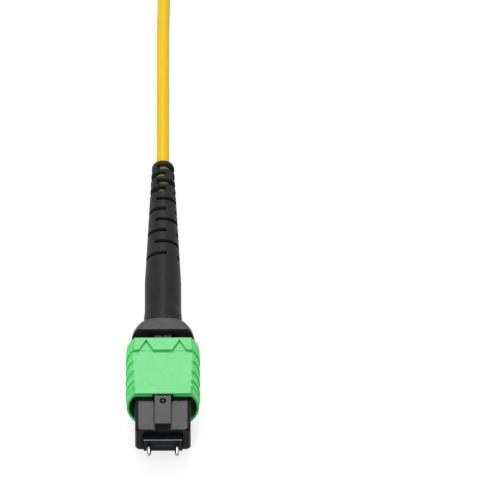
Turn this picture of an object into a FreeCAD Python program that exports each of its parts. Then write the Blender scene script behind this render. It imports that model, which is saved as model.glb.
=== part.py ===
import FreeCAD, Part
import math
import os
import re

import Sketcher
from FreeCAD import Placement, Rotation, Vector

# A male, angle-polished MPO plug on a round cable, in millimetres.
# The origin is the centre of the inner housing's front face. The nose looks along -Y,
# the cable leaves along +Y and the key is on top, +Z. "Start" and "end" are places on Y.
SIZES = {
    # inner housing
    "housing_width": 9.2,
    "housing_height": 5.6,
    "housing_length": 17.0,
    "bevel_wide": 0.53,
    "bevel_high": 0.45,
    "housing_corner": 0.75,
    "nose_chamfer": 0.3,
    "window_height": 3.5,
    "window_depth": 1.6,
    "notch_start": 5.9,
    "notch_length": 2.3,
    "notch_height": 3.2,
    "notch_depth": 0.4,
    "channel_start": 9.35,
    "channel_depth": 0.33,
    "latch_start": 12.7,
    "latch_length": 1.4,
    "latch_height": 2.2,
    # key on top of the inner housing
    "key_width": 2.8,
    "key_front_width": 2.6,
    "key_rise": 0.75,
    "key_setback": 0.7,
    "key_end": 8.6,
    "key_groove": 0.2,
    "mark_radius": 0.54,
    "mark_button": 0.22,
    "mark_depth": 0.2,
    "mark_start": 5.5,
    # outer sleeve
    "sleeve_start": 6.8,
    "sleeve_length": 11.7,
    "sleeve_travel": 2.0,
    "sleeve_height": 7.7,
    "grip_radius": 6.175,
    "lip_setback": 0.175,
    "lip_length": 1.6,
    "lip_taper": 0.35,
    "tooth_height": 0.2,
    "tooth_pitch": 2.15,
    "tooth_count": 3.0,
    "sleeve_wall": 0.55,
    "sleeve_gap": 0.1,
    "keyway_width": 3.45,
    "keyway_gap": 0.05,
    "label_depth": 0.4,
    "label_front_depth": 0.06,
    "raised_length": 2.5,
    "arrow_place": 2.77,
    "arrow_half": 1.2,
    "arrow_length": 2.1,
    "arrow_depth": 0.35,
    "lug_length": 1.0,
    "lug_gap": 0.08,
    # coil springs of the sleeve, one in each side channel
    "coil_gap": 0.075,
    "coil_wire": 0.22,
    "coil_turns": 6.0,
    # ferrule, its pins and their clamp
    "ferrule_width": 6.4,
    "ferrule_height": 2.45,
    "ferrule_gap": 0.15,
    "ferrule_reach": 1.15,
    "ferrule_seat": 4.9,
    "flange_width": 7.0,
    "flange_height": 3.0,
    "flange_length": 2.0,
    "flange_gap": 0.15,
    "face_angle": 8.0,
    "pin_radius": 0.35,
    "pin_pitch": 4.6,
    "pin_reach": 2.1,
    "pin_tip": 0.2,
    "guide_gap": 0.01,
    "neck_radius": 0.25,
    "neck_length": 0.6,
    "clamp_width": 6.8,
    "clamp_height": 2.8,
    "clamp_length": 1.5,
    "clamp_face": 0.4,
    "clamp_gap": 0.03,
    "fibre_radius": 0.0625,
    "fibre_pitch": 0.25,
    "fibre_gap": 0.006,
    "glue_start": 1.4,
    "glue_length": 2.0,
    "glue_width": 3.4,
    "glue_floor": 0.1,
    "glue_gap": 0.02,
    "ribbon_width": 3.1,
    "ribbon_height": 0.32,
    "ribbon_gap": 0.06,
    "stack_width": 0.8,
    "stack_height": 0.5,
    "rubber_width": 3.5,
    "rubber_height": 1.3,
    "rubber_length": 4.3,
    "rubber_seat": 1.2,
    "rubber_gap": 0.03,
    # spring behind the ferrule, wound oval
    "oval_width": 5.5,
    "oval_height": 2.9,
    "oval_wire": 0.4,
    "oval_turns": 5.0,
    # back housing
    "plate_gap": 0.05,
    "plate_length": 2.0,
    "arm_thickness": 0.5,
    "arm_height": 2.0,
    "arm_lead": 0.5,
    "hook_gap": 0.05,
    "shoulder_gap": 0.325,
    "shoulder_height": 5.2,
    "shoulder_length": 1.2,
    "throat_width": 4.2,
    "throat_height": 1.7,
    "throat_length": 2.6,
    "spine_width": 8.0,
    "spine_height": 2.0,
    "tab_width": 2.85,
    "tab_height": 3.24,
    "tab_groove": 0.26,
    "tab_groove_depth": 0.35,
    "boot_gap": 0.25,
    "collar_length": 1.2,
    "post_radius": 1.7,
    "post_length": 5.6,
    "post_bore": 0.9,
    # crimp sleeve, yarn and cable
    "yarn_layer": 0.22,
    "crimp_gap": 0.05,
    "crimp_wall": 0.38,
    "crimp_start": 0.15,
    "crimp_body": 6.6,
    "crimp_neck": 4.4,
    "cable_radius": 1.05,
    "jacket_wall": 0.27,
    "bundle_radius": 0.48,
    "cable_gap": 0.02,
    # strain-relief boot
    "boot_length": 37.15,
    "boot_flange_radius": 5.25,
    "boot_flange_height": 6.4,
    "dome_radius": 2.6,
    "dome_angle": 78.0,
    "boot_root_radius": 3.16,
    "boot_root_length": 4.7,
    "boot_step_length": 1.5,
    "boot_radius": 3.03,
    "boot_straight": 12.2,
    "boot_tip_radius": 1.87,
    "boot_tip_round": 0.45,
    "boot_clearance": 0.05,
    "boot_bore_gap": 0.1,
    "slot_width": 0.72,
    "slot_tip_width": 1.05,
    "slot_arc": 137.0,
    "slot_first": 1.5,
    "slot_pitch": 1.63,
    "slot_wide_pitch": 2.15,
    "slot_growth": 0.085,
    # free cable
    "hank_lane": 4.1,
    "hank_start": 121.0,
    "hank_run": 32.1,
    "hank_fold": 6.3,
    "hank_lanes": 2.0,
    "hank_layers": 4.0,
    "tie_width": 5.0,
    "tie_thickness": 0.25,
    "tie_gap": 0.05,
    # how far a cutting shape runs past the surface that it cuts
    "past": 1.0,
}

FIBRES = 12
# The fibres and their holes are too small to need circles.
FIBRE_SIDES = 8
# Straight pieces in one turn of a spring.
WINDS = 8
# The two kinds of slot ring: the clock angle, from the top towards +X, at which the first slot starts.
RIGHT_RING = -31.5
LEFT_RING = -122.5
TIP_RINGS = 4
WIDE_RINGS = 6
# Cones that make up the dome of the boot's flange.
DOME_STEPS = 4

doc = FreeCAD.newDocument("mpo_fibre_connector")
sheet = doc.addObject("Spreadsheet::Sheet", "Sizes")
for row, (name, number) in enumerate(SIZES.items(), start=1):
    sheet.set(f"A{row}", name)
    sheet.set(f"B{row}", str(number))
    sheet.setAlias(f"B{row}", name)
doc.recompute()


def formula(text):
    """The expression for FreeCAD: each size's name becomes a cell of the sheet."""
    return re.sub(
        r"[a-z][a-z_]*",
        lambda word: "Sizes." + word[0] if word[0] in SIZES else word[0],
        text,
    )


def bind(thing, path, text):
    thing.setExpression(path, formula(text))


def value(name):
    return float(sheet.get(name))


def place(thing, across="0", along="0", up="0"):
    bind(thing, "Placement.Base.x", across)
    bind(thing, "Placement.Base.y", along)
    bind(thing, "Placement.Base.z", up)


# Places on Y that several pieces share, as expressions.
FLANGE_END = "(ferrule_seat + flange_length)"
CLAMP_END = "(ferrule_seat + flange_length + clamp_length)"
PIN_TIP = "(-ferrule_reach - pin_reach)"
PLATE_START = "(housing_length - plate_length)"
SHOULDER_END = "(housing_length + shoulder_length)"
SLEEVE_END = "(sleeve_start + sleeve_length)"
BOOT_START = "(sleeve_start + sleeve_length + sleeve_travel + boot_gap)"
POST_START = f"({BOOT_START} + collar_length)"
POST_END = f"({POST_START} + post_length)"
CRIMP_START = f"({POST_START} + crimp_start)"
CRIMP_NECK = f"({CRIMP_START} + crimp_body)"
CRIMP_END = f"({CRIMP_NECK} + crimp_neck)"
JACKET_START = f"({CRIMP_NECK} - crimp_wall)"
BOOT_END = f"({BOOT_START} + boot_length)"
STEP_START = "(sleeve_start + sleeve_length - raised_length)"

# Half sizes that several pieces share.
CAVITY_X = "(flange_width/2 + flange_gap)"
CAVITY_Z = "(flange_height/2 + flange_gap)"
CHANNEL_FLOOR = "(housing_width/2 - channel_depth)"
SLEEVE_BORE = "(grip_radius - sleeve_wall)"
COIL_RADIUS = f"(({SLEEVE_BORE} - coil_gap - {CHANNEL_FLOOR} - lug_gap)/2)"
CHANNEL_HALF = f"({COIL_RADIUS} + lug_gap)"
BORE_HALF = "(housing_height/2 + sleeve_gap)"
CRIMP_BORE = "(post_radius + yarn_layer + crimp_gap)"
NECK_BORE = "(cable_radius + crimp_gap)"
# The pressed crimp sleeve is six-sided, so it reaches furthest at its corners.
CRIMP_CORNER = f"(({CRIMP_BORE} + crimp_wall)/cos(30))"
NECK_CORNER = f"(({NECK_BORE} + crimp_wall)/cos(30))"


def new_body(name):
    body = doc.addObject("PartDesign::Body", name)
    body.Label = name
    return body


def origin_feature(body, role):
    return next(f for f in body.Origin.OriginFeatures if f.Role == role)


def sketch_on(body, role, at="0"):
    """An empty sketch on one of the body's own planes, moved along the plane's normal."""
    sketch = body.newObject("Sketcher::SketchObject", "Sketch")
    sketch.AttachmentSupport = [(origin_feature(body, role), "")]
    sketch.MapMode = "FlatFace"
    bind(sketch, "AttachmentOffset.Base.z", at)
    return sketch


def section_at(body, along="0"):
    """A sketch across the plug's axis: its x is X, its y is Z, and it stands at this place on Y."""
    return sketch_on(body, "XZ_Plane", f"-({along})")


def constrain(sketch, kind, *parts, text=None):
    """A constraint, bound to an expression where text gives one."""
    number = sketch.addConstraint(Sketcher.Constraint(kind, *parts))
    if text is not None:
        bind(sketch, f"Constraints[{number}]", text)


def pin_point(sketch, curve, end, across, up):
    constrain(sketch, "DistanceX", -1, 1, curve, end, 1.0, text=across)
    constrain(sketch, "DistanceY", -1, 1, curve, end, 1.0, text=up)


def polygon(sketch, corners):
    """A closed outline through corners, each an (x, y) pair of expressions."""
    first = len(sketch.Geometry)
    count = len(corners)
    turn = 2 * math.pi / count
    spots = [Vector(math.cos(k * turn), math.sin(k * turn), 0) for k in range(count)]
    for k in range(count):
        sketch.addGeometry(Part.LineSegment(spots[k], spots[(k + 1) % count]))
    for k, (across, up) in enumerate(corners):
        constrain(sketch, "Coincident", first + k, 2, first + (k + 1) % count, 1)
        pin_point(sketch, first + k, 1, across, up)


def block(sketch, left, right, low, high):
    polygon(sketch, [(left, low), (right, low), (right, high), (left, high)])


def centred(sketch, width, height):
    block(sketch, f"-({width})/2", f"({width})/2", f"-({height})/2", f"({height})/2")


def both_sides(sketch, inner, outer, low, high):
    """A block on the +X side and its mirror image."""
    block(sketch, inner, outer, low, high)
    block(sketch, f"-({outer})", f"-({inner})", low, high)


def disc(sketch, across, up, radius):
    circle = sketch.addGeometry(Part.Circle(Vector(0.3, 0.2, 0), Vector(0, 0, 1), 0.5))
    pin_point(sketch, circle, 3, across, up)
    constrain(sketch, "Radius", circle, 0.5, text=radius)


def regular(sketch, sides, across, radius):
    """A regular outline with its first corner towards +X."""
    turns = [360 * k // sides for k in range(sides)]
    polygon(sketch, [(f"{across} + ({radius})*cos({t})", f"({radius})*sin({t})") for t in turns])


def barrel(sketch, radius, half_height):
    """A circle about the origin, cut flat above and below."""
    circle = Part.Circle(Vector(), Vector(0, 0, 1), 1.0)
    lean = math.asin(0.6)
    right = sketch.addGeometry(Part.ArcOfCircle(circle, -lean, lean))
    top = sketch.addGeometry(Part.LineSegment(Vector(0.8, 0.6), Vector(-0.8, 0.6)))
    left = sketch.addGeometry(Part.ArcOfCircle(circle, math.pi - lean, math.pi + lean))
    base = sketch.addGeometry(Part.LineSegment(Vector(-0.8, -0.6), Vector(0.8, -0.6)))
    around = (right, top, left, base)
    for one, following in zip(around, around[1:] + around[:1]):
        constrain(sketch, "Coincident", one, 2, following, 1)
    for arc in (right, left):
        constrain(sketch, "Coincident", arc, 3, -1, 1)
    for line in (top, base):
        constrain(sketch, "Horizontal", line)
    constrain(sketch, "Equal", right, left)
    constrain(sketch, "Radius", right, 1.0, text=radius)
    constrain(sketch, "DistanceY", -1, 1, top, 1, 0.6, text=half_height)
    constrain(sketch, "DistanceY", base, 1, -1, 1, 0.6, text=half_height)


def extrude(sketch, kind, length, flip=False, both_ways=False):
    feature = sketch.getParent().newObject(f"PartDesign::{kind}", kind)
    feature.Profile = sketch
    feature.Reversed = flip
    feature.Midplane = both_ways
    bind(feature, "Length", length)
    return feature


def grow(sketch, length):
    """Material from a section's sketch towards the cable."""
    return extrude(sketch, "Pad", length, flip=True)


def sink(sketch, length):
    """A pocket from a section's sketch towards the cable, or down from a sketch that lies level."""
    return extrude(sketch, "Pocket", length)


def revolve(sketch, kind="Revolution"):
    """The sketch, whose x is a radius, turned about its own vertical axis."""
    feature = sketch.getParent().newObject(f"PartDesign::{kind}", kind)
    feature.Profile = sketch
    feature.ReferenceAxis = (sketch, ["V_Axis"])
    feature.Angle = 360
    return feature


def repeat(feature, role, pitch, count):
    """A row of copies of a feature along one of its body's axes."""
    body = feature.getParent()
    row = body.newObject("PartDesign::LinearPattern", "Row")
    row.Originals = [feature]
    row.Direction = (origin_feature(body, role), [""])
    bind(row, "Length", f"({pitch}) * ({count} - 1)")
    bind(row, "Occurrences", count)
    body.Tip = row
    return row


def dress(feature, kind, size, wanted):
    """A Fillet or Chamfer on the edges of a feature that wanted() picks."""
    doc.recompute()
    names = [f"Edge{k}" for k, edge in enumerate(feature.Shape.Edges, start=1) if wanted(edge)]
    body = feature.getParent()
    dressed = body.newObject(f"PartDesign::{kind}", kind)
    dressed.Base = (feature, names)
    bind(dressed, "Radius" if kind == "Fillet" else "Size", size)
    return dressed


def near(one, other):
    return abs(one - other) < 1e-4


def turned(name, outline):
    """A body of revolution about the plug's axis, from (radius, place on Y) corners."""
    body = new_body(name)
    sketch = sketch_on(body, "XY_Plane")
    polygon(sketch, outline)
    revolve(sketch)
    return body


def inner_housing():
    body = new_body("inner_housing")
    half, top = "housing_width/2", "housing_height/2"
    sketch = section_at(body)
    polygon(
        sketch,
        [
            (f"-{half}", f"-{top}"),
            (half, f"-{top}"),
            (half, f"{top} - bevel_high"),
            (f"{half} - bevel_wide", top),
            (f"bevel_wide - {half}", top),
            (f"-{half}", f"{top} - bevel_high"),
        ],
    )
    shell = grow(sketch, "housing_length")
    x, z = value("housing_width") / 2, value("housing_height") / 2

    def lower_corner(edge):
        box = edge.BoundBox
        return box.YLength > 1 and near(abs(box.XMin), x) and near(box.ZMax, -z)

    rounded = dress(shell, "Fillet", "housing_corner", lower_corner)

    def nose_edge(edge):
        box = edge.BoundBox
        return near(box.YMax, 0) and not near(box.ZMin, z)

    dress(rounded, "Chamfer", "nose_chamfer", nose_edge)

    key(body)
    sketch = section_at(body)
    centred(sketch, "ferrule_width + 2*ferrule_gap", "window_height")
    sink(sketch, "window_depth")
    sketch = section_at(body, "window_depth")
    centred(sketch, "ferrule_width + 2*ferrule_gap", "ferrule_height + 2*ferrule_gap")
    sink(sketch, "ferrule_seat - window_depth")
    sketch = section_at(body, "ferrule_seat")
    centred(sketch, f"2*{CAVITY_X}", f"2*{CAVITY_Z}")
    sink(sketch, "housing_length - ferrule_seat")

    sketch = sketch_on(body, "XY_Plane")
    both_sides(
        sketch,
        "housing_width/2 - notch_depth",
        "housing_width/2 + past",
        "notch_start",
        "notch_start + notch_length",
    )
    extrude(sketch, "Pocket", "notch_height", both_ways=True)
    sketch = section_at(body, "channel_start")
    both_sides(sketch, CHANNEL_FLOOR, "housing_width/2 + past", f"-{CHANNEL_HALF}", CHANNEL_HALF)
    sink(sketch, "housing_length - channel_start")
    sketch = sketch_on(body, "XY_Plane")
    both_sides(
        sketch,
        f"{CAVITY_X} - hook_gap",
        "housing_width/2 + past",
        "latch_start",
        "latch_start + latch_length",
    )
    extrude(sketch, "Pocket", "latch_height", both_ways=True)
    return body


def key_plan(body, low, extra):
    """The key's outline seen from above, widened by extra on each side."""
    sketch = sketch_on(body, "XY_Plane", low)
    front, back = f"(key_front_width/2 + {extra})", f"(key_width/2 + {extra})"
    polygon(sketch, [(f"-{front}", "0"), (front, "0"), (back, "key_end"), (f"-{back}", "key_end")])
    return sketch


def key(body):
    """The key with its ramped front, a groove along each side and a round mark on top."""
    top = "housing_height/2"
    sink(key_plan(body, top, "key_groove"), "key_groove")
    extrude(key_plan(body, f"{top} - bevel_high", "0"), "Pad", "bevel_high + key_rise")
    sketch = sketch_on(body, "YZ_Plane")
    polygon(
        sketch,
        [
            ("-past", top),
            ("0", top),
            ("key_setback", f"{top} + key_rise"),
            ("key_setback", f"{top} + key_rise + past"),
            ("-past", f"{top} + key_rise + past"),
        ],
    )
    extrude(sketch, "Pocket", "key_width + 2*past", both_ways=True)
    sketch = sketch_on(body, "XY_Plane", f"{top} + key_rise")
    disc(sketch, "0", "mark_start", "mark_radius")
    disc(sketch, "0", "mark_start", "mark_button")
    sink(sketch, "mark_depth")


def outer_sleeve():
    """The pull-back sleeve: a turned, toothed barrel cut flat above and below."""
    body = new_body("outer_sleeve")
    tooth_start = f"({STEP_START} - tooth_pitch*tooth_count)"
    lip_end = "(sleeve_start + lip_length)"
    valley = "(grip_radius - tooth_height)"
    sketch = sketch_on(body, "XY_Plane")
    polygon(
        sketch,
        [
            ("0", "sleeve_start"),
            ("grip_radius - lip_setback", "sleeve_start"),
            ("grip_radius - lip_setback", f"{lip_end} - lip_taper"),
            ("grip_radius", lip_end),
            (valley, tooth_start),
            (valley, STEP_START),
            ("grip_radius", STEP_START),
            (f"{valley} + tooth_height/2", SLEEVE_END),
            ("0", SLEEVE_END),
        ],
    )
    revolve(sketch)
    sketch = sketch_on(body, "XY_Plane")
    polygon(
        sketch,
        [
            (f"{valley} - tooth_height", tooth_start),
            ("grip_radius", tooth_start),
            (valley, f"{tooth_start} + tooth_pitch"),
            (f"{valley} - tooth_height", f"{tooth_start} + tooth_pitch"),
        ],
    )
    repeat(revolve(sketch), "Y_Axis", "tooth_pitch", "tooth_count")

    flat, reach = "sleeve_height/2", "grip_radius + past"
    sketch = section_at(body, "sleeve_start")
    block(sketch, f"-({reach})", reach, flat, reach)
    block(sketch, f"-({reach})", reach, f"-({reach})", f"-{flat}")
    sink(sketch, "sleeve_length")
    for side in ("", "-"):
        sketch = sketch_on(body, "YZ_Plane")
        polygon(
            sketch,
            [
                (STEP_START, f"{side}({flat} - label_depth)"),
                (STEP_START, f"{side}({reach})"),
                (lip_end, f"{side}({reach})"),
                (lip_end, f"{side}({flat} - label_front_depth)"),
            ],
        )
        extrude(sketch, "Pocket", f"2*({reach})", both_ways=True)

    sketch = section_at(body, "sleeve_start")
    barrel(sketch, SLEEVE_BORE, BORE_HALF)
    sink(sketch, "sleeve_length")
    sketch = section_at(body, "sleeve_start")
    block(
        sketch,
        "-keyway_width/2",
        "keyway_width/2",
        f"{BORE_HALF} - past",
        "housing_height/2 + key_rise + keyway_gap",
    )
    sink(sketch, "key_end + 4*keyway_gap - sleeve_start")
    sketch = section_at(body, "channel_start")
    both_sides(
        sketch,
        f"{CHANNEL_FLOOR} + lug_gap",
        f"{SLEEVE_BORE} + sleeve_wall/3",
        f"-{COIL_RADIUS}",
        COIL_RADIUS,
    )
    grow(sketch, "lug_length")
    pull_arrows(body, flat)
    return body


def pull_arrows(body, flat):
    """Two sunk triangles that point the way the sleeve is pulled."""
    for side in ("", "-"):
        sketch = sketch_on(body, "XY_Plane", flat)
        polygon(
            sketch,
            [
                (f"{side}arrow_place - arrow_half", f"{STEP_START} - past/2"),
                (f"{side}arrow_place + arrow_half", f"{STEP_START} - past/2"),
                (f"{side}arrow_place + arrow_half", STEP_START),
                (f"{side}arrow_place", f"{STEP_START} + arrow_length"),
                (f"{side}arrow_place - arrow_half", STEP_START),
            ],
        )
        sink(sketch, "arrow_depth")


def wound_spring(name, half_wide, half_high, wire, turns, start, end, across=0.0):
    """An oval or round spring along Y, its wire square and each turn a polygon of WINDS sides."""
    points = []
    for k in range(round(turns * WINDS) + 1):
        angle = 2 * math.pi * k / WINDS
        along = start + wire / 2 + (end - start - wire) * k / round(turns * WINDS)
        out, up = half_wide - wire / 2, half_high - wire / 2
        points.append(Vector(across + out * math.cos(angle), along, up * math.sin(angle)))
    corners = [
        points[0] + Vector(math.cos(k * math.pi / 2), math.sin(k * math.pi / 2), 0) * wire / 2
        for k in range(5)
    ]
    spring = doc.addObject("Part::Feature", name)
    spring.Label = name
    spring.Shape = Part.makePolygon(points).makePipeShell([Part.makePolygon(corners)], True, False, 1)
    return spring


def sleeve_spring(name, side):
    """A round coil spring between the sleeve's lug and the back housing's shoulder."""
    floor = value("housing_width") / 2 - value("channel_depth") + value("lug_gap")
    radius = (value("grip_radius") - value("sleeve_wall") - value("coil_gap") - floor) / 2
    start = value("channel_start") + value("lug_length")
    across = side * (floor + radius)
    size = (radius, radius, value("coil_wire"), value("coil_turns"))
    return wound_spring(name, *size, start, value("housing_length"), across)


def ferrule_spring():
    """The oval spring that presses the ferrule forward, from the clamp to the back housing."""
    start = value("ferrule_seat") + value("flange_length") + value("clamp_length")
    end = value("housing_length") - value("plate_length")
    half_wide, half_high = value("oval_width") / 2, value("oval_height") / 2
    size = (half_wide, half_high, value("oval_wire"), value("oval_turns"))
    return wound_spring("ferrule_spring", *size, start, end)


def mt_ferrule():
    body = new_body("mt_ferrule")
    face = "(-ferrule_reach - past)"
    sketch = section_at(body, face)
    centred(sketch, "ferrule_width", "ferrule_height")
    grow(sketch, "ferrule_reach + past + ferrule_seat")
    sketch = section_at(body, "ferrule_seat")
    centred(sketch, "flange_width", "flange_height")
    grow(sketch, "flange_length")
    sketch = sketch_on(body, "YZ_Plane")
    polygon(
        sketch,
        [
            ("-ferrule_reach - tan(face_angle)*ferrule_height", "-ferrule_height"),
            ("-ferrule_reach + tan(face_angle)*ferrule_height", "ferrule_height"),
            ("-ferrule_reach - 2*past", "ferrule_height"),
            ("-ferrule_reach - 2*past", "-ferrule_height"),
        ],
    )
    extrude(sketch, "Pocket", "ferrule_width + 2*past", both_ways=True)

    sketch = section_at(body, face)
    for side in ("", "-"):
        disc(sketch, f"{side}pin_pitch/2", "0", "pin_radius + guide_gap")
    sink(sketch, f"{FLANGE_END} - {face}")
    sketch = section_at(body, "glue_start + glue_length - past/4")
    centred(sketch, "ribbon_width + 2*ribbon_gap", "ribbon_height + 2*ribbon_gap")
    sink(sketch, f"{FLANGE_END} - (glue_start + glue_length - past/4)")
    sketch = section_at(body, f"{FLANGE_END} - rubber_seat - rubber_gap")
    centred(sketch, "rubber_width + 2*rubber_gap", "rubber_height + 2*rubber_gap")
    sink(sketch, "rubber_seat + rubber_gap")
    sketch = sketch_on(body, "XY_Plane", "ferrule_height/2")
    block(sketch, "-glue_width/2", "glue_width/2", "glue_start", "glue_start + glue_length")
    sink(sketch, "ferrule_height/2 + glue_floor")
    sketch = section_at(body, face)
    regular(sketch, FIBRE_SIDES, f"-fibre_pitch*{(FIBRES - 1) / 2}", "fibre_radius + fibre_gap")
    hole = sink(sketch, f"glue_start + past/4 - {face}")
    repeat(hole, "X_Axis", "fibre_pitch", str(FIBRES))
    return body


def guide_pin(name, side):
    """A blunt-nosed steel pin with the groove that its clamp grips."""
    neck = f"({FLANGE_END} + clamp_face)"
    body = turned(
        name,
        [
            ("0", PIN_TIP),
            ("pin_radius - pin_tip", PIN_TIP),
            ("pin_radius", f"{PIN_TIP} + pin_tip*1.3"),
            ("pin_radius", neck),
            ("neck_radius", neck),
            ("neck_radius", f"{neck} + neck_length"),
            ("pin_radius", f"{neck} + neck_length"),
            ("pin_radius", f"{CLAMP_END} - clamp_face/4"),
            ("0", f"{CLAMP_END} - clamp_face/4"),
        ],
    )
    place(body, f"{side}pin_pitch/2")
    return body


def pin_clamp():
    """The clamp behind the ferrule: the pins drop into its slots, which close in on their necks."""
    body = new_body("pin_clamp")
    sketch = section_at(body, FLANGE_END)
    centred(sketch, "clamp_width", "clamp_height")
    grow(sketch, "clamp_length")
    sketch = section_at(body, FLANGE_END)
    centred(sketch, "rubber_width + 4*rubber_gap", "rubber_height + 4*rubber_gap")
    sink(sketch, "clamp_length")
    neck_end = f"({FLANGE_END} + clamp_face + neck_length - clamp_gap)"
    for start, length, radius in (
        (FLANGE_END, "clamp_length", "neck_radius"),
        (FLANGE_END, "clamp_face + clamp_gap", "pin_radius"),
        (neck_end, f"{CLAMP_END} - {neck_end}", "pin_radius"),
    ):
        sketch = section_at(body, start)
        both_sides(
            sketch,
            f"pin_pitch/2 - {radius} - clamp_gap",
            f"pin_pitch/2 + {radius} + clamp_gap",
            "-clamp_height/2 - past",
            f"{radius} + clamp_gap",
        )
        sink(sketch, length)
    return body


def ferrule_boot():
    """The rubber sleeve that leads the ribbon into the ferrule."""
    body = new_body("ferrule_boot")
    start = f"{FLANGE_END} - rubber_seat"
    sketch = section_at(body, start)
    centred(sketch, "rubber_width", "rubber_height")
    grow(sketch, "rubber_length")
    sketch = section_at(body, start)
    centred(sketch, "ribbon_width + ribbon_gap", "ribbon_height + ribbon_gap")
    sink(sketch, "rubber_length")
    return body


def bare_fibres():
    """The glass fibres, one in each of the ferrule's small holes, ending flush with its face."""
    fibres = []
    for k in range(FIBRES):
        fibre = doc.addObject("Part::Prism", f"fibre_{k + 1}")
        fibre.Polygon = FIBRE_SIDES
        bind(fibre, "Circumradius", "fibre_radius")
        bind(fibre, "Height", "ferrule_reach + glue_start + glue_length")
        fibre.Placement = Placement(Vector(), Rotation(Vector(1, 0, 0), -90))
        place(fibre, f"fibre_pitch*({k} - {(FIBRES - 1) / 2})", "-ferrule_reach")
        fibres.append(fibre)
    group = doc.addObject("Part::Compound", "bare_fibres")
    group.Label = "bare_fibres"
    group.Links = fibres
    return group


def fibre_ribbon():
    """The coated ribbon, which gathers into a narrow stack on its way into the crimp post."""
    body = new_body("fibre_ribbon")
    start = "(glue_start + glue_length)"
    flat_end = f"({CLAMP_END} + past)"
    gathered = "(housing_length + shoulder_length/2)"
    sketch = section_at(body, start)
    centred(sketch, "ribbon_width", "ribbon_height")
    grow(sketch, f"{flat_end} - {start}")
    flat = section_at(body, flat_end)
    centred(flat, "ribbon_width", "ribbon_height")
    stack = section_at(body, gathered)
    centred(stack, "stack_width", "stack_height")
    loft = body.newObject("PartDesign::AdditiveLoft", "Gather")
    loft.Profile = flat
    loft.Sections = [stack]
    loft.Ruled = True
    sketch = section_at(body, gathered)
    centred(sketch, "stack_width", "stack_height")
    grow(sketch, f"{POST_START} - {gathered}")
    return body


def window_adhesive():
    """The adhesive that fills the ferrule's window above the fibres."""
    body = new_body("window_adhesive")
    sketch = sketch_on(body, "XY_Plane", "fibre_radius + glue_gap")
    block(
        sketch,
        "glue_gap - glue_width/2",
        "glue_width/2 - glue_gap",
        "glue_start + glue_gap",
        "glue_start + glue_length - glue_gap",
    )
    extrude(sketch, "Pad", "ferrule_height/2 - fibre_radius - 2*glue_gap")
    return body


def back_housing():
    """Front plate with latch arms, shoulders, neck with its tab, collar and crimp post."""
    body = new_body("back_housing")
    plate_x, plate_z = f"({CAVITY_X} - plate_gap)", f"({CAVITY_Z} - plate_gap)"
    arm_start = "(latch_start - arm_lead)"
    sketch = section_at(body, PLATE_START)
    centred(sketch, f"2*{plate_x}", f"2*{plate_z}")
    grow(sketch, "plate_length")
    sketch = section_at(body, arm_start)
    both_sides(sketch, f"{plate_x} - arm_thickness", plate_x, "-arm_height/2", "arm_height/2")
    grow(sketch, f"{PLATE_START} - {arm_start}")
    latch_hooks(body, plate_x)

    sketch = section_at(body, "housing_length")
    barrel(sketch, f"({SLEEVE_BORE} - shoulder_gap)", "shoulder_height/2")
    grow(sketch, "shoulder_length")
    for width, height in (("spine_width", "spine_height"), ("tab_width", "tab_height")):
        sketch = section_at(body, SHOULDER_END)
        centred(sketch, width, height)
        grow(sketch, f"{BOOT_START} - {SHOULDER_END}")
    sketch = section_at(body, SHOULDER_END)
    for low, high in (
        ("tab_height/2 - tab_groove_depth", "tab_height/2 + past"),
        ("-tab_height/2 - past", "tab_groove_depth - tab_height/2"),
    ):
        block(sketch, "-tab_groove/2", "tab_groove/2", low, high)
    sink(sketch, f"{BOOT_START} - {SHOULDER_END}")

    sketch = sketch_on(body, "XY_Plane")
    polygon(
        sketch,
        [
            ("0", BOOT_START),
            (CRIMP_CORNER, BOOT_START),
            (CRIMP_CORNER, POST_START),
            ("post_radius", POST_START),
            ("post_radius", POST_END),
            ("0", POST_END),
        ],
    )
    revolve(sketch)
    sketch = section_at(body, PLATE_START)
    centred(sketch, "throat_width", "throat_height")
    sink(sketch, "throat_length")
    sketch = section_at(body, PLATE_START)
    disc(sketch, "0", "0", "post_bore")
    sink(sketch, f"{POST_END} - {PLATE_START}")
    return body


def latch_hooks(body, plate_x):
    """A barb on each arm, which snaps into the inner housing's side window."""
    tip = f"({CHANNEL_FLOOR} - lug_gap)"
    front = "latch_start + hook_gap"
    back = "latch_start + latch_length - hook_gap"
    for side in ("", "-"):
        sketch = sketch_on(body, "XY_Plane")
        polygon(
            sketch,
            [
                (f"{side}({plate_x} - arm_thickness/2)", front),
                (f"{side}{plate_x}", front),
                (f"{side}{tip}", back),
                (f"{side}({plate_x} - arm_thickness/2)", back),
            ],
        )
        extrude(sketch, "Pad", "arm_height", both_ways=True)


def crimp_sleeve():
    """The stepped metal tube, pressed to a hexagon over the yarn on the post and over the jacket."""
    body = new_body("crimp_sleeve")
    steps = ((CRIMP_START, "crimp_body", CRIMP_CORNER), (CRIMP_NECK, "crimp_neck", NECK_CORNER))
    for start, length, corner in steps:
        sketch = section_at(body, start)
        regular(sketch, 6, "0", corner)
        grow(sketch, length)
    bores = ((JACKET_START, CRIMP_BORE), (CRIMP_END, NECK_BORE))
    for end, bore in bores:
        sketch = section_at(body, CRIMP_START)
        disc(sketch, "0", "0", bore)
        sink(sketch, f"{end} - {CRIMP_START}")
    return body


def aramid_yarn():
    """The cable's yarn, folded back over the crimp post."""
    start = f"{CRIMP_START} + crimp_start"
    return turned(
        "aramid_yarn",
        [
            ("post_radius + cable_gap", start),
            ("post_radius + yarn_layer", start),
            ("post_radius + yarn_layer", f"{JACKET_START} - crimp_gap"),
            ("post_radius + cable_gap", f"{JACKET_START} - crimp_gap"),
        ],
    )


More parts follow.
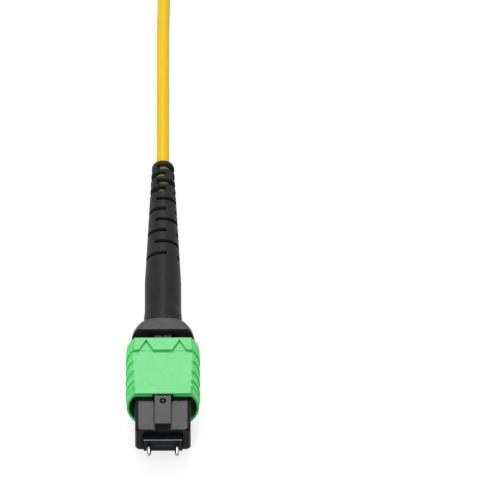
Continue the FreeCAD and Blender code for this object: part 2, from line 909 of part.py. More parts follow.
def cable_pieces():
    """Inside the boot the cable is a jacket over strength yarn over the fibre bundle."""
    return [
        turned(
            "cable_jacket",
            [
                ("cable_radius - jacket_wall", JACKET_START),
                ("cable_radius", JACKET_START),
                ("cable_radius", BOOT_END),
                ("cable_radius - jacket_wall", BOOT_END),
            ],
        ),
        turned(
            "cable_yarn",
            [
                ("bundle_radius + cable_gap", JACKET_START),
                ("cable_radius - jacket_wall - cable_gap", JACKET_START),
                ("cable_radius - jacket_wall - cable_gap", BOOT_END),
                ("bundle_radius + cable_gap", BOOT_END),
            ],
        ),
        turned(
            "fibre_bundle",
            [
                ("0", POST_START),
                ("bundle_radius", POST_START),
                ("bundle_radius", BOOT_END),
                ("0", BOOT_END),
            ],
        ),
    ]


def boot_form():
    """The boot before its slots: a domed flange, a tube and a long taper, bored in steps."""
    body = new_body("boot_form")
    flat, reach = "boot_flange_height/2", "boot_flange_radius + past"
    hub = "(boot_flange_radius - dome_radius)"
    steps = [f"dome_angle*{k}/{DOME_STEPS}" for k in range(DOME_STEPS + 1)]
    dome = [
        (f"{hub} + dome_radius*cos({angle})", f"{BOOT_START} + dome_radius*sin({angle})")
        for angle in steps
    ]
    sketch = sketch_on(body, "XY_Plane")
    dome_end = f"{BOOT_START} + dome_radius*sin(dome_angle)"
    polygon(sketch, [("0", BOOT_START), *dome, ("0", dome_end)])
    revolve(sketch)
    sketch = section_at(body, BOOT_START)
    block(sketch, f"-({reach})", reach, flat, reach)
    block(sketch, f"-({reach})", reach, f"-({reach})", f"-{flat}")
    sink(sketch, "dome_radius + past")

    sketch = sketch_on(body, "XY_Plane")
    polygon(
        sketch,
        [
            ("0", BOOT_START),
            ("boot_root_radius", BOOT_START),
            ("boot_root_radius", f"{BOOT_START} + boot_root_length"),
            ("boot_radius", f"{BOOT_START} + boot_root_length + boot_step_length"),
            ("boot_radius", f"{BOOT_START} + boot_straight"),
            ("boot_tip_radius", f"{BOOT_END} - boot_tip_round"),
            ("boot_tip_radius - boot_tip_round/3", f"{BOOT_END} - boot_tip_round/3"),
            ("boot_tip_radius - boot_tip_round", BOOT_END),
            ("0", BOOT_END),
        ],
    )
    revolve(sketch)

    wide = f"({CRIMP_CORNER} + boot_clearance)"
    narrow = f"({NECK_CORNER} + boot_clearance)"
    bore = "(cable_radius + boot_bore_gap)"
    sketch = sketch_on(body, "XY_Plane")
    polygon(
        sketch,
        [
            ("0", f"{BOOT_START} - past"),
            (wide, f"{BOOT_START} - past"),
            (wide, f"{CRIMP_NECK} + boot_clearance"),
            (narrow, f"{CRIMP_NECK} + boot_clearance"),
            (narrow, f"{CRIMP_END} + boot_clearance"),
            (bore, f"{CRIMP_END} + boot_clearance"),
            (bore, f"{BOOT_END} + past"),
            ("0", f"{BOOT_END} + past"),
        ],
    )
    revolve(sketch, "Groove")
    return body


def strain_relief_boot():
    """The boot with its rings of slots, two to a ring, each ring turned against the last."""
    form = boot_form()
    cutters = []
    from_tip = value("slot_first")
    for ring in range(TIP_RINGS + WIDE_RINGS):
        first_angle = RIGHT_RING if ring % 2 == 0 else LEFT_RING
        width = "slot_tip_width" if ring < TIP_RINGS else "slot_width"
        wide = max(0, ring - TIP_RINGS + 1)
        gaps = f"slot_pitch*{ring - wide} + slot_wide_pitch*{wide}"
        growth = f"slot_growth*{wide * (wide - 1) // 2}"
        along = f"{BOOT_END} - slot_first - ({gaps}) - ({growth})"
        for half_turn in (0, 180):
            name = f"slot_{ring + 1}_{half_turn}"
            cutters.append(slot(name, along, width, first_angle + half_turn))
    slots = doc.addObject("Part::MultiFuse", "boot_slots")
    slots.Shapes = cutters
    boot = doc.addObject("Part::Cut", "strain_relief_boot")
    boot.Label = "strain_relief_boot"
    boot.Base = form
    boot.Tool = slots
    return boot


def slot(name, along, width, clock):
    """The cutter for one slot: a sector of a disc, from this clock angle on."""
    sector = doc.addObject("Part::Cylinder", name)
    bind(sector, "Radius", "boot_radius + past")
    bind(sector, "Height", width)
    bind(sector, "Angle", "slot_arc")
    upright = Rotation(Vector(1, 0, 0), -90)
    sector.Placement = Placement(Vector(), upright * Rotation(Vector(0, 0, 1), clock - 90))
    place(sector, "0", f"{along} - {width}/2")
    return sector


def cord_route():
    """The free cable's corners, chosen by hand: out of the boot, down to the surface, to the hank."""
    tip = value("sleeve_start") + value("sleeve_length") + value("sleeve_travel")
    tip += value("boot_gap") + value("boot_length")
    floor = value("cable_radius") - value("sleeve_height") / 2
    return [
        Vector(0, tip, 0),
        Vector(0, tip + 15.1, 0),
        Vector(0, tip + 45.1, floor),
        Vector(value("hank_lane"), tip + 60.6, floor),
    ]


def cord_tube():
    """The free cable as a plain tube: straight runs joined by the largest arcs that fit."""
    route = cord_route()
    pieces = []
    here = route[0]
    for before, corner, after in zip(route, route[1:], route[2:]):
        inward, outward = corner - before, after - corner
        turn = inward.getAngle(outward)
        reach = 0.45 * min(inward.Length, outward.Length)
        inward.normalize()
        outward.normalize()
        enter = corner - inward * reach
        axis = inward.cross(outward).normalize()
        middle = enter + axis.cross(inward) * reach / math.tan(turn / 2)
        pieces.append(cable_end(here, inward).extrude(enter - here))
        pieces.append(cable_end(enter, inward).revolve(middle, axis, math.degrees(turn)))
        here = corner + outward * reach
    pieces.append(cable_end(here, route[-1] - here).extrude(route[-1] - here))
    tube = doc.addObject("Part::Feature", "cord_tube")
    tube.Label = "cord_tube"
    tube.Shape = pieces[0].multiFuse(pieces[1:]).Solids[0]
    return tube


def cable_end(centre, direction):
    """A flat round face across the cable."""
    return Part.Face(Part.Wire([Part.makeCircle(value("cable_radius"), centre, direction)]))


HANK_OUTER = "(hank_fold + 2*cable_radius*(hank_lanes - 1) + cable_radius)"
HANK_CENTRE = f"(hank_lane + cable_radius - {HANK_OUTER})"
HANK_FLOOR = "(tie_thickness + tie_gap - sleeve_height/2)"
HANK_HEIGHT = "(2*cable_radius*hank_layers)"


def cord_hank():
    """The put-away cable, folded into a hank, as one solid of the hank's outer shape."""
    body = new_body("cord_hank")
    end = "hank_start + hank_run"
    inner = "(hank_fold - cable_radius)"
    for kind, radius, level in (
        ("Pad", HANK_OUTER, HANK_FLOOR),
        ("Pocket", inner, f"{HANK_FLOOR} + {HANK_HEIGHT}"),
    ):
        for along in ("hank_start", end):
            sketch = sketch_on(body, "XY_Plane", level)
            disc(sketch, HANK_CENTRE, along, radius)
            extrude(sketch, kind, HANK_HEIGHT)
        sketch = sketch_on(body, "XY_Plane", level)
        left, right = f"{HANK_CENTRE} - {radius}", f"{HANK_CENTRE} + {radius}"
        block(sketch, left, right, "hank_start", end)
        extrude(sketch, kind, HANK_HEIGHT)
    return body


def cord_tie():
    """The flat band that holds the hank together at its middle."""
    body = new_body("cord_tie")
    sketch = section_at(body, "hank_start + hank_run/2 - tie_width/2")
    for grown in ("tie_gap", "(tie_gap + tie_thickness)"):
        block(
            sketch,
            f"{HANK_CENTRE} - {HANK_OUTER} - {grown}",
            f"{HANK_CENTRE} + {HANK_OUTER} + {grown}",
            f"{HANK_FLOOR} - {grown}",
            f"{HANK_FLOOR} + {HANK_HEIGHT} + {grown}",
        )
    grow(sketch, "tie_width")
    return body


subparts = [
    inner_housing(),
    outer_sleeve(),
    sleeve_spring("sleeve_spring_right", 1),
    sleeve_spring("sleeve_spring_left", -1),
    mt_ferrule(),
    guide_pin("guide_pin_right", ""),
    guide_pin("guide_pin_left", "-"),
    pin_clamp(),
    ferrule_boot(),
    ferrule_spring(),
    bare_fibres(),
    fibre_ribbon(),
    window_adhesive(),
    back_housing(),
    crimp_sleeve(),
    aramid_yarn(),
    *cable_pieces(),
    strain_relief_boot(),
    cord_tube(),
    cord_hank(),
    cord_tie(),
]
doc.recompute()

failed = [thing.Name for thing in doc.Objects if {"Invalid", "Error"} & set(thing.State)]
if failed:
    raise RuntimeError(f"these objects did not recompute: {failed}")
for part in subparts:
    if part.Shape.isNull() or not part.Shape.isValid() or not part.Shape.Solids:
        raise RuntimeError(f"{part.Label} has no valid solid")

os.makedirs("parts", exist_ok=True)
for part in subparts:
    part.Shape.exportStep(os.path.join("parts", part.Label + ".step"))
    print(f"{part.Label}: {len(part.Shape.Solids)} solid(s), {part.Shape.Volume:.3f} mm3")
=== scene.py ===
"""The looks of an MPO fibre connector on its round cable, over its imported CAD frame."""
import math

import bpy
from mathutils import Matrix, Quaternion, Vector


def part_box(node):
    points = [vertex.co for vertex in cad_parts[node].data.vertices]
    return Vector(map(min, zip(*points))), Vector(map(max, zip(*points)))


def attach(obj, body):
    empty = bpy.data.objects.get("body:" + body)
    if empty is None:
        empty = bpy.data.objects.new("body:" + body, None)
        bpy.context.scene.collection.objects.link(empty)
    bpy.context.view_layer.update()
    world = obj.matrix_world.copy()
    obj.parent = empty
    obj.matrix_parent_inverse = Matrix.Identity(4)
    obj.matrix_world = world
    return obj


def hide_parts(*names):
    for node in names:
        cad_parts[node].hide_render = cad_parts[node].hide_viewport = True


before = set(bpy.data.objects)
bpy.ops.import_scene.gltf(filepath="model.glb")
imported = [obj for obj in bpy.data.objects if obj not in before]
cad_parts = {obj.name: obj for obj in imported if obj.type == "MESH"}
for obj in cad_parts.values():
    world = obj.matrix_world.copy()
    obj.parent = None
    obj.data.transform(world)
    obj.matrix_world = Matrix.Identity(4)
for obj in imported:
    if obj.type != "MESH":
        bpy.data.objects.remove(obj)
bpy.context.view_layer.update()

MM = 0.001


def show(name, data):
    """A new object in the scene that holds this data."""
    thing = bpy.data.objects.new(name, data)
    bpy.context.scene.collection.objects.link(thing)
    return thing


# ---------------------------------------------------------------- camera

# A long lens from far away, as flat as the photograph: degrees, metres and lens millimetres.
CAMERA_ELEVATION = 51.7
CAMERA_ROLL = -0.17
CAMERA_DISTANCE = 3.472
CAMERA_CLIP = (0.01, 20.0)
LENS_MM = 1500.0
SENSOR_MM = 36.0
TARGET = Vector((14.5, 40.0, 0.0)) * MM


def turned_to(direction):
    """The turn that points a camera or lamp along this direction, its top upwards."""
    return direction.to_track_quat("-Z", "Y")


def make_camera():
    data = bpy.data.cameras.new("camera")
    data.lens = LENS_MM
    data.sensor_width = SENSOR_MM
    data.clip_start, data.clip_end = CAMERA_CLIP
    camera = show("camera", data)
    rise = math.radians(CAMERA_ELEVATION)
    back = Vector((0, -math.cos(rise), math.sin(rise)))
    camera.location = TARGET + back * CAMERA_DISTANCE
    camera.rotation_mode = "QUATERNION"
    roll = Quaternion((0, 0, 1), math.radians(CAMERA_ROLL))
    camera.rotation_quaternion = turned_to(-back) @ roll
    bpy.context.scene.camera = camera


# ---------------------------------------------------------------- cord

# Lengths and places are in millimetres here.
CORD_DIAMETER = 2.1
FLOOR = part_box("outer_sleeve")[0].z / MM
CORD_ROUTE = [
    (0, 57.9, 0),
    (0, 73, 0),
    (0, 103, -2.8),
    (4.1, 118.5, -2.8),
]
HANK_X = -4.3
NEAR_FOLD = 121.0
FAR_FOLD = 153.1
HANK_RUN = FAR_FOLD - NEAR_FOLD
OUTER_LANE, INNER_LANE = 8.4, 6.3
# Each turn's lane, as the radius of its folds, and its height.
HANK_TURNS = [
    (OUTER_LANE, -2.5),
    (INNER_LANE, -2.5),
    (INNER_LANE, -0.4),
    (OUTER_LANE, -0.4),
    (OUTER_LANE, 1.7),
    (INNER_LANE, 1.7),
    (INNER_LANE, 3.8),
    (OUTER_LANE, 3.8),
]
RUN_STEPS = 4
FOLD_STEPS = 8
# The spline passes just inside its points, so those of a fold stand this much wider.
FOLD_WIDENING = 1.006
# The length of cord in which a turn goes over to the next one's lane or height.
CHANGE_LENGTH = 7.6
CORD_FACETS = 5
CORD_SMOOTHNESS = 4


def smooth(share):
    share = min(1.0, max(0.0, share))
    return share * share * (3 - 2 * share)


def hank_stations(last):
    """Where the points of a turn stand: each on a part of it, at a share of that part."""
    runs = [step / RUN_STEPS for step in range(RUN_STEPS)]
    folds = [step / FOLD_STEPS for step in range(FOLD_STEPS)]
    stations = [("up", share) for share in runs] + [("over", share) for share in folds]
    if last:
        return stations + [("over", 1.0)]
    return stations + [("down", share) for share in runs] + [("under", share) for share in folds]


def hank_place(part, share, radius, height):
    turn = math.pi * share
    wide = radius * FOLD_WIDENING
    if part == "up":
        return (HANK_X + radius, NEAR_FOLD + HANK_RUN * share, height)
    if part == "over":
        return (HANK_X + wide * math.cos(turn), FAR_FOLD + wide * math.sin(turn), height)
    if part == "down":
        return (HANK_X - radius, FAR_FOLD - HANK_RUN * share, height)
    return (HANK_X - wide * math.cos(turn), NEAR_FOLD - wide * math.sin(turn), height)


def hank_points():
    """The put-away turns, up the right side and down the left one.

    Every change of lane or height has a stretch of the left side and the near fold to itself, the
    last one's first, and the last turn ends at the far fold, so no two turns are ever in one place.
    """
    points = []
    final = len(HANK_TURNS) - 1
    for number, (radius, height) in enumerate(HANK_TURNS):
        next_radius, next_height = HANK_TURNS[min(number + 1, final)]
        opening = CHANGE_LENGTH * (final - 1 - number)
        for part, share in hank_stations(number == final):
            travelled = -1.0
            if part == "down":
                travelled = share * HANK_RUN
            elif part == "under":
                travelled = HANK_RUN + share * math.pi * INNER_LANE
            change = smooth((travelled - opening) / CHANGE_LENGTH)
            r = radius + (next_radius - radius) * change
            z = height + (next_height - height) * change
            points.append(hank_place(part, share, r, z))
    return points


def make_cord(material):
    data = bpy.data.curves.new("cable", "CURVE")
    data.dimensions = "3D"
    data.bevel_depth = CORD_DIAMETER / 2 * MM
    data.bevel_resolution = CORD_FACETS
    data.resolution_u = CORD_SMOOTHNESS
    data.use_fill_caps = True
    spline = data.splines.new("NURBS")
    points = CORD_ROUTE + hank_points()
    spline.points.add(len(points) - 1)
    for point, (x, y, z) in zip(spline.points, points):
        point.co = (x * MM, y * MM, z * MM, 1.0)
    spline.order_u = 3
    spline.use_endpoint_u = True
    cable = show("cable", data)
    data.materials.append(material)
    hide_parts("cord_tube", "cord_hank")
    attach(cable, "plug")


# ---------------------------------------------------------------- materials

# Scales of the noise on a moulded face, per metre: flow marks, and coarse and fine grain.
FLOW = 260
COARSE_GRAIN = 1800
FINE_GRAIN = 5200
# The coarse grain's depth, as a multiple of the fine one's, and its strength.
COARSE_DEPTH = 1.5
COARSE_STRENGTH = 0.6
# The two values of a noise between which a colour changes.
RAMP = (0.3, 0.7)
BEVEL_SAMPLES = 6

# Where the boot is still its flange, and how far that fades into its tube on each side.
BOOT_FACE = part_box("strain_relief_boot")[0].y
FLANGE_TOP = BOOT_FACE + 2.54 * MM
FLANGE_BLEND = 0.3 * MM
# Where the light grey painted highlight along the ferrule's top front edge fades out, back from its
# face and down from its flange's top.
FERRULE_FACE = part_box("mt_ferrule")[0].y
FERRULE_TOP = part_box("mt_ferrule")[1].z
PAINTED_HIGHLIGHT_BACK = (0.40 * MM, 0.45 * MM)
PAINTED_HIGHLIGHT_DOWN = (0.32 * MM, 0.37 * MM)
# Where the key's sunk mark and grooves fade in and out, down from its top.
KEY_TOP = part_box("inner_housing")[1].z
SUNK_FROM = (0.03 * MM, 0.06 * MM)
SUNK_TO = (0.27 * MM, 0.3 * MM)
# The sleeve's flat label face, to each side of its middle.
LABEL_HALF = 4.75 * MM
LABEL_BLEND = 0.3 * MM
# The back housing's tab, to each side of its middle and back to just before the boot, where grey is
# painted on as light falling on it.
TAB_HALF = 1.45 * MM
TAB_START = BOOT_FACE - 2.52 * MM
TAB_END = (BOOT_FACE - 0.12 * MM, BOOT_FACE - 0.05 * MM)
TAB_BLEND = 0.02 * MM


def fill(node, **values):
    """Set the node's input sockets, each named with _ for a space."""
    for socket, value in values.items():
        node.inputs[socket.replace("_", " ")].default_value = value
    return node


class Shader:
    """A material being built: its nodes are added one at a time and linked by name."""

    def __init__(self, name, **values):
        self.material = bpy.data.materials.new(name)
        self.material.use_nodes = True
        self.tree = self.material.node_tree
        self.surface = fill(self.tree.nodes["Principled BSDF"], **values)
        self.place = self.add("ShaderNodeTexCoord").outputs["Object"]

    def add(self, kind, **settings):
        node = self.tree.nodes.new(kind)
        for name, setting in settings.items():
            setattr(node, name, setting)
        return node

    def link(self, output, target):
        self.tree.links.new(output, target)

    def along(self, axis):
        """The object coordinate along X, Y or Z."""
        node = self.add("ShaderNodeSeparateXYZ")
        self.link(self.place, node.inputs["Vector"])
        return node.outputs[axis]

    def stretched(self, scale):
        """Object coordinates, scaled differently along each axis."""
        mapping = fill(self.add("ShaderNodeMapping"), Scale=scale)
        self.link(self.place, mapping.inputs["Vector"])
        return mapping.outputs["Vector"]

    def noise(self, scale, detail=2.0, roughness=0.5, place=None):
        node = self.add("ShaderNodeTexNoise")
        fill(node, Scale=scale, Detail=detail, Roughness=roughness)
        self.link(place or self.place, node.inputs["Vector"])
        return node.outputs["Fac"]

    def flow(self, scale=FLOW):
        """The faint marks that a melt leaves as it fills its mould."""
        return self.noise(scale, detail=3, roughness=0.6)

    def ramp(self, value, low, high):
        """A colour that goes from low to high as a noise goes through RAMP."""
        node = self.add("ShaderNodeValToRGB")
        for element, position, color in zip(node.color_ramp.elements, RAMP, (low, high)):
            element.position = position
            element.color = (*color, 1.0)
        self.link(value, node.inputs["Fac"])
        return node.outputs["Color"]

    def between(self, value, start, end, low, high):
        """A number that goes from low to high as value goes from start to end."""
        node = self.add("ShaderNodeMapRange")
        fill(node, From_Min=start, From_Max=end, To_Min=low, To_Max=high)
        self.link(value, node.inputs["Value"])
        return node.outputs["Result"]

    def spread(self, value, low, high):
        """A number that goes from low to high as value goes from 0 to 1."""
        return self.between(value, 0.0, 1.0, low, high)

    def combined(self, operation, *values):
        """What a Math node makes of one value or two."""
        node = self.add("ShaderNodeMath", operation=operation)
        for value, socket in zip(values, node.inputs):
            self.link(value, socket)
        return node.outputs["Value"]

    def mixed(self, share, one, other):
        """A colour that goes from one to the other as share goes from 0 to 1."""
        node = self.add("ShaderNodeMixRGB")
        for output, socket in ((share, "Fac"), (one, "Color1"), (other, "Color2")):
            self.link(output, node.inputs[socket])
        return node.outputs["Color"]

    def plain(self, color):
        node = self.add("ShaderNodeRGB")
        node.outputs["Color"].default_value = (*color, 1.0)
        return node.outputs["Color"]

    def bump(self, height, distance, strength=1.0, normal=None):
        node = fill(self.add("ShaderNodeBump"), Distance=distance, Strength=strength)
        self.link(height, node.inputs["Height"])
        if normal is not None:
            self.link(normal, node.inputs["Normal"])
        return node.outputs["Normal"]

    def rounded(self, radius):
        """The normal with its sharp edges eased, as a mould leaves them."""
        node = fill(self.add("ShaderNodeBevel", samples=BEVEL_SAMPLES), Radius=radius)
        return node.outputs["Normal"]

    def grained(self, fine, coarse, depth, edge):
        """The normal of a spark-eroded mould's face, its edges eased by this radius."""
        normal = self.bump(fine, depth, normal=self.rounded(edge))
        return self.bump(coarse, depth * COARSE_DEPTH, COARSE_STRENGTH, normal)

    def use(self, color, roughness, normal):
        for socket, output in (("Base Color", color), ("Roughness", roughness), ("Normal", normal)):
            self.link(output, self.surface.inputs[socket])
        return self.material


def moulded(name, low, high, gloss, depth, edge=0.09 * MM):
    """Injection-moulded plastic: a spark-eroded grain, faint flow marks and eased edges."""
    shader = Shader(name)
    fine = shader.noise(FINE_GRAIN)
    coarse = shader.noise(0.35 * FINE_GRAIN, detail=1)
    color = shader.ramp(shader.flow(), low, high)
    return shader.use(
        color, shader.spread(coarse, *gloss), shader.grained(fine, coarse, depth, edge)
    )


def ground_metal(name, low, high, gloss, scale):
    """Metal with fine tool marks. The scale is largest along the axis that they run across."""
    shader = Shader(name, Metallic=1.0)
    marks = shader.noise(1.0, detail=4, roughness=0.7, place=shader.stretched(scale))
    tone = shader.noise(900)
    normal = shader.bump(marks, 0.0015 * MM, 0.5, shader.rounded(0.03 * MM))
    return shader.use(shader.ramp(tone, low, high), shader.spread(marks, *gloss), normal)


def sleeve_plastic():
    """Green plastic: a smooth label face, and the gripped sides more matt, their green painted
    lighter as painted light.
    """
    shader = Shader("sleeve_plastic", Specular_IOR_Level=0.38)
    flow = shader.flow()
    fine = shader.noise(FINE_GRAIN)
    coarse = shader.noise(COARSE_GRAIN, detail=1)
    distance = shader.combined("ABSOLUTE", shader.along("X"))
    side = shader.between(distance, LABEL_HALF, LABEL_HALF + LABEL_BLEND, 0.0, 1.0)
    label_tone = shader.ramp(flow, (0.058, 0.512, 0.121), (0.069, 0.555, 0.135))
    # Painted light: a lighter green on the sides, for the light that falls on them.
    painted_lit_side_tone = shader.ramp(flow, (0.072, 0.645, 0.148), (0.084, 0.69, 0.165))
    label_gloss = shader.spread(coarse, 0.36, 0.44)
    more_matt = shader.spread(side, 0.0, 0.14)
    return shader.use(
        shader.mixed(side, label_tone, painted_lit_side_tone),
        shader.combined("ADD", label_gloss, more_matt),
        shader.grained(fine, coarse, depth=0.004 * MM, edge=0.09 * MM),
    )


def ferrule_resin():
    """Glass-filled black resin with a polished end face, and a painted highlight: a light grey band
    along its top front edge.
    """
    shader = Shader("ferrule_resin", Specular_IOR_Level=0.1)
    flow = shader.flow(900)
    fine = shader.noise(9000)
    back = [FERRULE_FACE + reach for reach in PAINTED_HIGHLIGHT_BACK]
    down = [FERRULE_TOP - reach for reach in PAINTED_HIGHLIGHT_DOWN]
    front = shader.between(shader.along("Y"), *back, 1.0, 0.0)
    top = shader.between(shader.along("Z"), *down, 1.0, 0.0)
    resin = shader.ramp(flow, (0.008, 0.009, 0.010), (0.012, 0.013, 0.014))
    # Painted highlight: a light grey that stands for the bright line light draws along the top
    # front edge.
    painted_highlight = shader.plain((0.42, 0.43, 0.44))
    return shader.use(
        shader.mixed(shader.combined("MULTIPLY", front, top), resin, painted_highlight),
        shader.spread(flow, 0.25, 0.35),
        shader.bump(fine, 0.002 * MM, normal=shader.rounded(0.1 * MM)),
    )


def housing_plastic():
    """Black plastic, glossy where it slides, and matt in the key's sunk mark and grooves."""
    shader = Shader("housing_plastic", Specular_IOR_Level=0.092)
    fine = shader.noise(FINE_GRAIN)
    coarse = shader.noise(COARSE_GRAIN, detail=1)
    height = shader.along("Z")
    begin = [KEY_TOP - depth for depth in SUNK_FROM]
    end = [KEY_TOP - depth for depth in SUNK_TO]
    more_matt = shader.between(height, *begin, 0.0, 0.6)
    in_key = shader.between(height, *end, 1.0, 0.0)
    sunk = shader.combined("MULTIPLY", more_matt, in_key)
    return shader.use(
        shader.ramp(shader.flow(), (0.006, 0.006, 0.0063), (0.009, 0.009, 0.0093)),
        shader.combined("ADD", sunk, shader.spread(coarse, 0.2, 0.27)),
        shader.grained(fine, coarse, depth=0.004 * MM, edge=0.09 * MM),
    )


def post_plastic():
    """Black plastic, with grey painted on the tab that shows behind the sleeve, as painted light.
    """
    shader = Shader("post_plastic", Specular_IOR_Level=0.35)
    flow = shader.flow()
    fine = shader.noise(FINE_GRAIN)
    distance = shader.combined("ABSOLUTE", shader.along("X"))
    place = shader.along("Y")
    beside = shader.between(distance, TAB_HALF, TAB_HALF + TAB_BLEND, 1.0, 0.0)
    begun = shader.between(place, TAB_START, TAB_START + TAB_BLEND, 0.0, 1.0)
    ended = shader.between(place, *TAB_END, 1.0, 0.0)
    tab = shader.combined("MINIMUM", beside, shader.combined("MINIMUM", begun, ended))
    black = shader.ramp(flow, (0.011, 0.011, 0.0115), (0.015, 0.015, 0.0155))
    # Painted light: a grey that stands for the light falling on the tab.
    painted_lit_grey = shader.ramp(flow, (0.16, 0.165, 0.16), (0.22, 0.225, 0.22))
    return shader.use(
        shader.mixed(tab, black, painted_lit_grey),
        shader.spread(flow, 0.35, 0.45),
        shader.bump(fine, 0.004 * MM, normal=shader.rounded(0.06 * MM)),
    )


def boot_rubber():
    """Black elastomer with a spark-eroded grain, smoother on the flange, where fingers pull."""
    shader = Shader("boot_rubber", Specular_IOR_Level=0.06)
    fine = shader.noise(3600)
    coarse = shader.noise(1300, detail=1)
    blend = (FLANGE_TOP - FLANGE_BLEND, FLANGE_TOP + FLANGE_BLEND)
    gloss = shader.between(shader.along("Y"), *blend, 0.23, 0.44)
    return shader.use(
        shader.ramp(shader.flow(), (0.020, 0.020, 0.021), (0.027, 0.027, 0.028)),
        shader.combined("ADD", gloss, shader.spread(coarse, -0.06, 0.06)),
        shader.grained(fine, coarse, depth=0.012 * MM, edge=0.12 * MM),
    )


def cable_jacket(name, low, high):
    """Extruded jacket: draw lines along it, and the strands inside just telling."""
    shader = Shader(name, Specular_IOR_Level=0.08)
    mottle = shader.noise(700, detail=3)
    lay = shader.noise(1.0, place=shader.stretched((1500, 160, 1500)))
    fine = shader.noise(9000)
    normal = shader.bump(lay, 0.012 * MM, 0.5)
    normal = shader.bump(fine, 0.002 * MM, 0.6, normal)
    return shader.use(shader.ramp(mottle, low, high), shader.spread(lay, 0.34, 0.46), normal)


def strands(name, low, high):
    """Fine threads that lie along the cable."""
    shader = Shader(name)
    threads = shader.noise(1.0, detail=3, place=shader.stretched((14000, 500, 14000)))
    return shader.use(
        shader.ramp(threads, low, high),
        shader.spread(threads, 0.45, 0.7),
        shader.bump(threads, 0.02 * MM),
    )


def woven_tie():
    """A black hook-and-loop band: a pile of short threads over a woven back."""
    shader = Shader("woven_tie")
    pile = shader.noise(5200, detail=4, roughness=0.7)
    weave = shader.noise(1.0, place=shader.stretched((2400, 9000, 2400)))
    normal = shader.bump(weave, 0.03 * MM, 0.6)
    normal = shader.bump(pile, 0.06 * MM, 0.8, normal)
    color = shader.ramp(pile, (0.012, 0.012, 0.013), (0.045, 0.045, 0.047))
    return shader.use(color, shader.spread(pile, 0.75, 0.95), normal)


def make_materials():
    return {
        "sleeve": sleeve_plastic(),
        "housing": housing_plastic(),
        "boot": boot_rubber(),
        "post": post_plastic(),
        "ferrule": ferrule_resin(),
        "rubber": moulded(
            "guide_rubber",
            low=(0.015, 0.015, 0.015),
            high=(0.025, 0.025, 0.025),
            gloss=(0.6, 0.7),
            depth=0.006 * MM,
        ),
        "adhesive": moulded(
            "adhesive",
            low=(0.2, 0.1, 0.02),
            high=(0.32, 0.17, 0.04),
            gloss=(0.1, 0.2),
            depth=0.001 * MM,
        ),
        "glass": moulded(
            "fibre_glass",
            low=(0.05, 0.055, 0.06),
            high=(0.09, 0.095, 0.1),
            gloss=(0.05, 0.1),
            depth=0.0002 * MM,
            edge=0.005 * MM,
        ),
        "pin": ground_metal(
            "pin_steel",
            low=(0.24, 0.24, 0.25),
            high=(0.32, 0.32, 0.33),
            gloss=(0.12, 0.2),
            scale=(400, 9000, 400),
        ),
        "steel": ground_metal(
            "spring_steel",
            low=(0.5, 0.5, 0.51),
            high=(0.64, 0.64, 0.65),
            gloss=(0.25, 0.4),
            scale=(900, 5000, 900),
        ),
        "crimp": ground_metal(
            "crimp_nickel",
            low=(0.55, 0.52, 0.46),
            high=(0.66, 0.63, 0.57),
            gloss=(0.25, 0.4),
            scale=(300, 7000, 300),
        ),
        "jacket": cable_jacket("cable_jacket", (0.72, 0.47, 0.014), (0.76, 0.50, 0.020)),
        "covered_jacket": cable_jacket("covered_jacket", (0.42, 0.5, 0.10), (0.5, 0.58, 0.14)),
        "yarn": strands("aramid_yarn", (0.55, 0.4, 0.06), (0.8, 0.62, 0.16)),
        "fibres": strands("fibre_coating", (0.25, 0.35, 0.5), (0.55, 0.62, 0.7)),
        "tie": woven_tie(),
    }


NODE_MATERIALS = {
    "inner_housing": "housing",
    "outer_sleeve": "sleeve",
    "sleeve_spring_left": "steel",
    "sleeve_spring_right": "steel",
    "mt_ferrule": "ferrule",
    "ferrule_boot": "rubber",
    "guide_pin_left": "pin",
    "guide_pin_right": "pin",
    "pin_clamp": "steel",
    "ferrule_spring": "steel",
    "bare_fibres": "glass",
    "window_adhesive": "adhesive",
    "fibre_ribbon": "fibres",
    "back_housing": "post",
    "crimp_sleeve": "crimp",
    "aramid_yarn": "yarn",
    "strain_relief_boot": "boot",
    "cable_jacket": "covered_jacket",
    "cable_yarn": "yarn",
    "fibre_bundle": "fibres",
    "cord_tube": "jacket",
    "cord_hank": "jacket",
    "cord_tie": "tie",
}


def dress_cad(materials):
    for node, finish in NODE_MATERIALS.items():
        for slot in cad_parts[node].material_slots:
            slot.material = materials[finish]


# ---------------------------------------------------------------- stage and light

FLOOR_HALF = 1.6
FLOOR_TONE = 0.35
# What the floor glows on top of its tone, so that it shows as white.
FLOOR_LIFT = 0.73
WORLD_STRENGTH = 0.78
# Each lamp's place and size in metres, and its power in watts.
SOFTBOXES = {
    "back_softbox": ((0.0, 0.72, 0.85), (0.32, 0.24), 5.4),
    "front_left_softbox": ((-0.8, -0.7, 0.5), (0.6, 0.6), 3.0),
}


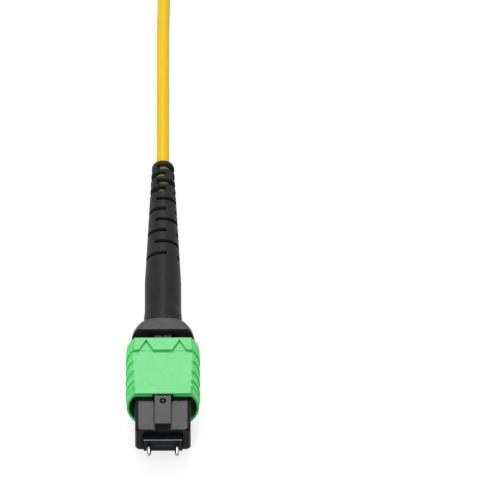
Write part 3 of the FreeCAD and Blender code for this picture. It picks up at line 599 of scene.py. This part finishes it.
def floor_white():
    """A pale matt surface that glows only where it is seen, mirrored or seen through a thing."""
    tone = (FLOOR_TONE, FLOOR_TONE, FLOOR_TONE, 1.0)
    shader = Shader("floor_white", Base_Color=tone, Roughness=0.7, Specular_IOR_Level=0.1)
    rays = shader.add("ShaderNodeLightPath").outputs
    seen = shader.combined("MAXIMUM", rays["Is Camera Ray"], rays["Is Glossy Ray"])
    seen = shader.combined("MAXIMUM", seen, rays["Is Transmission Ray"])
    lift = fill(shader.add("ShaderNodeEmission"), Strength=FLOOR_LIFT)
    lifted = shader.add("ShaderNodeAddShader")
    mix = shader.add("ShaderNodeMixShader")
    surface = shader.surface.outputs["BSDF"]
    shader.link(surface, lifted.inputs[0])
    shader.link(lift.outputs["Emission"], lifted.inputs[1])
    shader.link(seen, mix.inputs["Fac"])
    shader.link(surface, mix.inputs[1])
    shader.link(lifted.outputs["Shader"], mix.inputs[2])
    shader.link(mix.outputs["Shader"], shader.tree.nodes["Material Output"].inputs["Surface"])
    return shader.material


def make_floor():
    """The floor, level with the sleeve's underside, which keeps the object's shadow."""
    mesh = bpy.data.meshes.new("floor")
    corners = [(-1, -1), (1, -1), (1, 1), (-1, 1)]
    points = [(x * FLOOR_HALF, y * FLOOR_HALF, FLOOR * MM) for x, y in corners]
    mesh.from_pydata(points, [], [(0, 1, 2, 3)])
    mesh.materials.append(floor_white())
    show("floor", mesh)


def softbox(name, place, size, power):
    data = bpy.data.lights.new(name, "AREA")
    data.shape = "RECTANGLE"
    data.size, data.size_y = size
    data.energy = power
    light = show(name, data)
    light.location = place
    light.rotation_mode = "QUATERNION"
    light.rotation_quaternion = turned_to(TARGET - Vector(place))


def make_light():
    world = bpy.data.worlds.new("studio")
    world.use_nodes = True
    background = world.node_tree.nodes["Background"]
    fill(background, Color=(1, 1, 1, 1), Strength=WORLD_STRENGTH)
    bpy.context.scene.world = world
    for name, (place, size, power) in SOFTBOXES.items():
        softbox(name, place, size, power)
    bpy.context.scene.view_settings.view_transform = "Standard"


make_camera()
materials = make_materials()
make_cord(materials["jacket"])
dress_cad(materials)
make_floor()
make_light()
